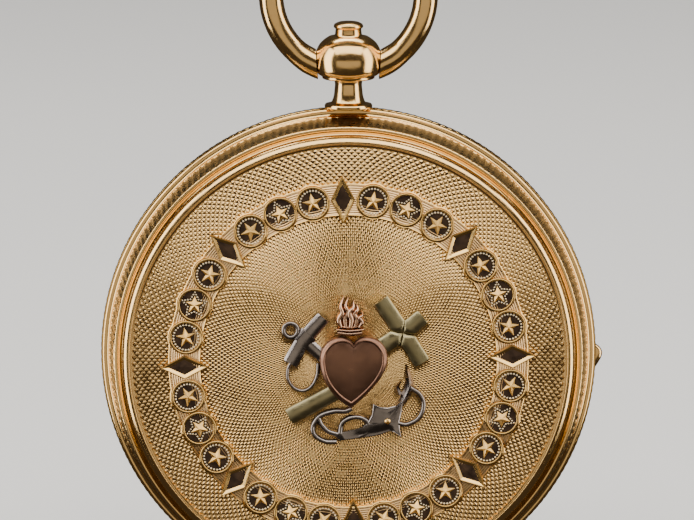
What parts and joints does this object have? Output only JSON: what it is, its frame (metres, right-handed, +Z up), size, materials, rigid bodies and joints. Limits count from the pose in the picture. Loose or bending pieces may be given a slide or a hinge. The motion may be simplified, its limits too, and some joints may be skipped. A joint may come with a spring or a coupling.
{
  "type": "pocket watch",
  "caption": "Open-face key-wound pocket watch: round gold case with hinged engine-turned back, inner cover and bezel, swinging bow, geared movement and hands.",
  "frame": {"origin": "inside top of the bow, where a chain or hook carries the watch", "axes": "+Z up through the bow, -Y out of the decorated back, +Y out of the dial, +X right as the back is seen"},
  "size_m": [0.0426, 0.0114, 0.059],
  "materials": {
    "case_gold": "polished yellow gold, engine-turned on the back",
    "rose_gold": "satin rose gold, darkened",
    "green_gold": "satin green gold, darkened",
    "white_gold": "oxidised white gold",
    "gilt_brass": "frosted and gilt",
    "polished_steel": "polished steel",
    "blued_steel": "heat-blued steel",
    "ruby": "polished ruby",
    "enamel": "fired white enamel",
    "dark_enamel": "glossy black-brown enamel",
    "crystal_glass": "clear"
  },
  "bodies": {
    "case": {"case_middle": "case_gold", "pendant": "case_gold", "pendant_cap": "case_gold", "back_hinge_pin": "case_gold", "bezel_hinge_pin": "case_gold", "cuvette_hinge_pin": "case_gold", "main_plate": "gilt_brass", "barrel_bridge": "gilt_brass", "centre_bridge": "gilt_brass", "third_bridge": "gilt_brass", "fourth_bridge": "gilt_brass", "escape_cock": "gilt_brass", "balance_cock": "gilt_brass", "bridge_screws": "blued_steel", "case_screws": "blued_steel", "jewels": "ruby", "click_spring": "polished_steel", "dial": "enamel"},
    "bow": {"bow": "case_gold"},
    "back": {"back_cover": "case_gold", "emblem_heart": "rose_gold", "emblem_flame": "rose_gold", "emblem_cross": "green_gold", "emblem_anchor": "white_gold", "emblem_rope": "white_gold", "medallion_rims": "case_gold", "enamel_discs": "dark_enamel", "lozenges": "case_gold"},
    "cuvette": {"cuvette": "case_gold"},
    "bezel": {"bezel": "case_gold", "crystal": "crystal_glass", "thumb_piece": "case_gold"},
    "barrel": {"barrel_drum": "gilt_brass", "barrel_cover": "gilt_brass", "mainspring": "blued_steel"},
    "winding": {"barrel_arbor": "polished_steel", "ratchet_wheel": "polished_steel"},
    "click": {"click": "polished_steel"},
    "centre": {"centre_pinion": "polished_steel", "centre_wheel": "gilt_brass"},
    "third": {"third_pinion": "polished_steel", "third_wheel": "gilt_brass"},
    "fourth": {"fourth_pinion": "polished_steel", "fourth_wheel": "gilt_brass"},
    "escape": {"escape_pinion": "polished_steel", "escape_wheel": "polished_steel"},
    "balance": {"balance_wheel": "gilt_brass", "balance_staff": "polished_steel", "hairspring": "blued_steel"},
    "regulator": {"regulator_index": "polished_steel"},
    "minute": {"setting_arbor": "polished_steel", "cannon_pinion": "polished_steel", "minute_hand": "blued_steel"},
    "minute_work": {"minute_wheel": "gilt_brass"},
    "hour": {"hour_wheel": "gilt_brass", "hour_hand": "blued_steel"}
  },
  "joints": [
    {"name": "bow_swing", "type": "hinge", "parent": "case", "child": "bow", "pos_m": [0, 0, -0.01115], "axis": [1, 0, 0], "range_deg": [-100, 100]},
    {"name": "back_open", "type": "hinge", "parent": "case", "child": "back", "pos_m": [-0.0194, -0.00235, -0.03595], "axis": [0, 0, -1], "range_deg": [0, 95]},
    {"name": "cuvette_open", "type": "hinge", "parent": "case", "child": "cuvette", "pos_m": [-0.0177, -0.0032, -0.03595], "axis": [0, 0, -1], "range_deg": [0, 88]},
    {"name": "bezel_open", "type": "hinge", "parent": "case", "child": "bezel", "pos_m": [-0.0194, 0.0024, -0.03595], "axis": [0, 0, 1], "range_deg": [0, 95]},
    {"name": "third_turn", "type": "hinge", "parent": "case", "child": "third", "pos_m": [0.00532, 0.0003, -0.03689], "axis": [0, -1, 0], "continuous": true},
    {"name": "fourth_turn", "type": "hinge", "parent": "case", "child": "fourth", "pos_m": [0.0057, 0.0003, -0.04129], "axis": [0, -1, 0], "continuous": true},
    {"name": "escape_turn", "type": "hinge", "parent": "case", "child": "escape", "pos_m": [0.00273, 0.0003, -0.04337], "axis": [0, -1, 0], "continuous": true},
    {"name": "centre_turn", "type": "hinge", "parent": "case", "child": "centre", "pos_m": [0, 0.0003, -0.03595], "axis": [0, -1, 0], "continuous": true},
    {"name": "barrel_turn", "type": "hinge", "parent": "case", "child": "barrel", "pos_m": [-0.00361, 0.0003, -0.0282], "axis": [0, -1, 0], "continuous": true},
    {"name": "winding_turn", "type": "hinge", "parent": "case", "child": "winding", "pos_m": [-0.00361, 0.0003, -0.0282], "axis": [0, -1, 0], "continuous": true},
    {"name": "click_lift", "type": "hinge", "parent": "case", "child": "click", "pos_m": [-0.00796, 0.0003, -0.02595], "axis": [0, -1, 0], "range_deg": [0, 7]},
    {"name": "balance_swing", "type": "hinge", "parent": "case", "child": "balance", "pos_m": [0.00002, 0.0003, -0.04385], "axis": [0, -1, 0], "range_deg": [-180, 180], "stiffness_Nm_per_rad": 0.00000002, "deforming": ["hairspring"]},
    {"name": "regulator_turn", "type": "hinge", "parent": "case", "child": "regulator", "pos_m": [0.00002, 0.0003, -0.04385], "axis": [0, -1, 0], "range_deg": [-20, 20]},
    {"name": "minute_turn", "type": "hinge", "parent": "case", "child": "minute", "pos_m": [0, 0.0003, -0.03595], "axis": [0, -1, 0], "continuous": true},
    {"name": "minute_work_turn", "type": "hinge", "parent": "case", "child": "minute_work", "pos_m": [0.0012, 0.0003, -0.03803], "axis": [0, -1, 0], "continuous": true},
    {"name": "hour_turn", "type": "hinge", "parent": "case", "child": "hour", "pos_m": [0, 0.0003, -0.03595], "axis": [0, -1, 0], "continuous": true}
  ],
  "couplings": [
    {"joint": "cuvette_open", "follows": "back_open", "ratio": 0.9},
    {"joint": "fourth_turn", "follows": "third_turn", "ratio": -7.5},
    {"joint": "escape_turn", "follows": "third_turn", "ratio": 75},
    {"joint": "centre_turn", "follows": "third_turn", "ratio": -0.125},
    {"joint": "barrel_turn", "follows": "third_turn", "ratio": 0.015625},
    {"joint": "minute_work_turn", "follows": "minute_turn", "ratio": -0.33333},
    {"joint": "hour_turn", "follows": "minute_turn", "ratio": 0.083333}
  ]
}
